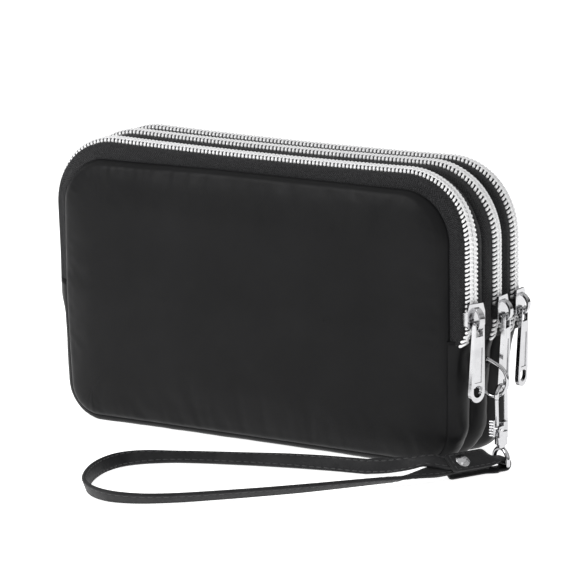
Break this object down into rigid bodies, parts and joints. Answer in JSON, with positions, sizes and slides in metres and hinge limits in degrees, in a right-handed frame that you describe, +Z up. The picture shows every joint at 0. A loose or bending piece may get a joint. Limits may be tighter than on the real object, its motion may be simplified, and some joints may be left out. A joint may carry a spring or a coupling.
{
  "type": "zippered pouch",
  "caption": "Padded wristlet pouch with three zipped compartments side by side and a wrist strap on a swivel clasp.",
  "frame": {"origin": "on the ground under the middle zip, half way along the width", "axes": "+X along the width towards the sliders, -Y out of the front panel, +Z up"},
  "size_m": [0.2038, 0.1507, 0.1159],
  "materials": {
    "nylon": "black satin nylon twill, padded",
    "divider_cloth": "black nylon, two layers",
    "padding": "soft foam sheet",
    "lining_cloth": "thin black polyester",
    "zip_tape": "woven herringbone tape",
    "zip_coil": "silver metallised nylon coil",
    "silver_plate": "polished silver plate on die-cast zinc",
    "steel": "drawn steel wire",
    "strap_cloth": "black nylon strap with stitched edges"
  },
  "bodies": {
    "pouch": {"front_panel": "nylon", "front_padding": "padding", "back_panel": "nylon", "back_padding": "padding", "divider_front": "divider_cloth", "divider_rear": "divider_cloth", "gusset_front": "nylon", "gusset_middle": "nylon", "gusset_rear": "nylon", "lining_front": "lining_cloth", "lining_middle": "lining_cloth", "lining_rear": "lining_cloth", "tape_1_front": "zip_tape", "tape_1_rear": "zip_tape", "tape_2_front": "zip_tape", "tape_2_rear": "zip_tape", "tape_3_front": "zip_tape", "tape_3_rear": "zip_tape", "coil_1_front": "zip_coil", "coil_1_rear": "zip_coil", "coil_2_front": "zip_coil", "coil_2_rear": "zip_coil", "coil_3_front": "zip_coil", "coil_3_rear": "zip_coil", "ring_tab": "nylon"},
    "slider_1": {"slider_1": "silver_plate"},
    "pull_1": {"pull_1": "silver_plate"},
    "slider_2": {"slider_2": "silver_plate"},
    "pull_2": {"pull_2": "silver_plate"},
    "slider_3": {"slider_3": "silver_plate"},
    "pull_3": {"pull_3": "silver_plate"},
    "ring": {"d_ring": "silver_plate"},
    "clasp": {"clasp_body": "silver_plate", "trigger_pin": "steel", "trigger_spring": "steel"},
    "trigger": {"trigger": "silver_plate"},
    "eye": {"swivel_eye": "silver_plate"},
    "strap": {"strap_keeper": "strap_cloth", "wrist_strap": "strap_cloth", "rivet_cap": "silver_plate", "rivet_back": "silver_plate"}
  },
  "joints": [
    {"name": "zip_1_slide", "type": "slide", "parent": "pouch", "child": "slider_1", "axis": [0, 0, 1], "range_m": [0, 0.022]},
    {"name": "pull_1_swing", "type": "hinge", "parent": "slider_1", "child": "pull_1", "pos_m": [0.09849, -0.01875, 0.0582], "axis": [-0.2079, -0.9781, 0], "range_deg": [0, 130]},
    {"name": "zip_2_slide", "type": "slide", "parent": "pouch", "child": "slider_2", "axis": [0, 0, 1], "range_m": [0, 0.022]},
    {"name": "pull_2_swing", "type": "hinge", "parent": "slider_2", "child": "pull_2", "pos_m": [0.09934, 0.00015, 0.0582], "axis": [0.1392, -0.9903, 0], "range_deg": [0, 130]},
    {"name": "zip_3_slide", "type": "slide", "parent": "pouch", "child": "slider_3", "axis": [0, 0, 1], "range_m": [0, 0.022]},
    {"name": "pull_3_swing", "type": "hinge", "parent": "slider_3", "child": "pull_3", "pos_m": [0.09893, 0.01381, 0.0582], "axis": [0.0523, -0.9986, 0], "range_deg": [0, 130]},
    {"name": "ring_swing", "type": "hinge", "parent": "pouch", "child": "ring", "pos_m": [0.0934, -0.0082, 0.037], "axis": [0.4067, 0, 0.9135], "range_deg": [0, 8]},
    {"name": "clasp_swing", "type": "hinge", "parent": "ring", "child": "clasp", "pos_m": [0.102, -0.0084, 0.0296], "axis": [0, -1, 0], "range_deg": [0, 60]},
    {"name": "trigger_press", "type": "hinge", "parent": "clasp", "child": "trigger", "pos_m": [0.102, -0.0113, 0.0166], "axis": [-1, 0, 0], "range_deg": [0, 22], "stiffness_Nm_per_rad": 0.01, "springref_deg": -11.46},
    {"name": "clasp_swivel", "type": "hinge", "parent": "clasp", "child": "eye", "pos_m": [0.102, -0.0084, 0.011], "axis": [0, 0, 1], "range_deg": [0, 180]},
    {"name": "strap_lift", "type": "hinge", "parent": "eye", "child": "strap", "pos_m": [0.102, -0.0084, 0.00295], "axis": [-0.9205, 0.3907, 0], "range_deg": [0, 20]}
  ]
}
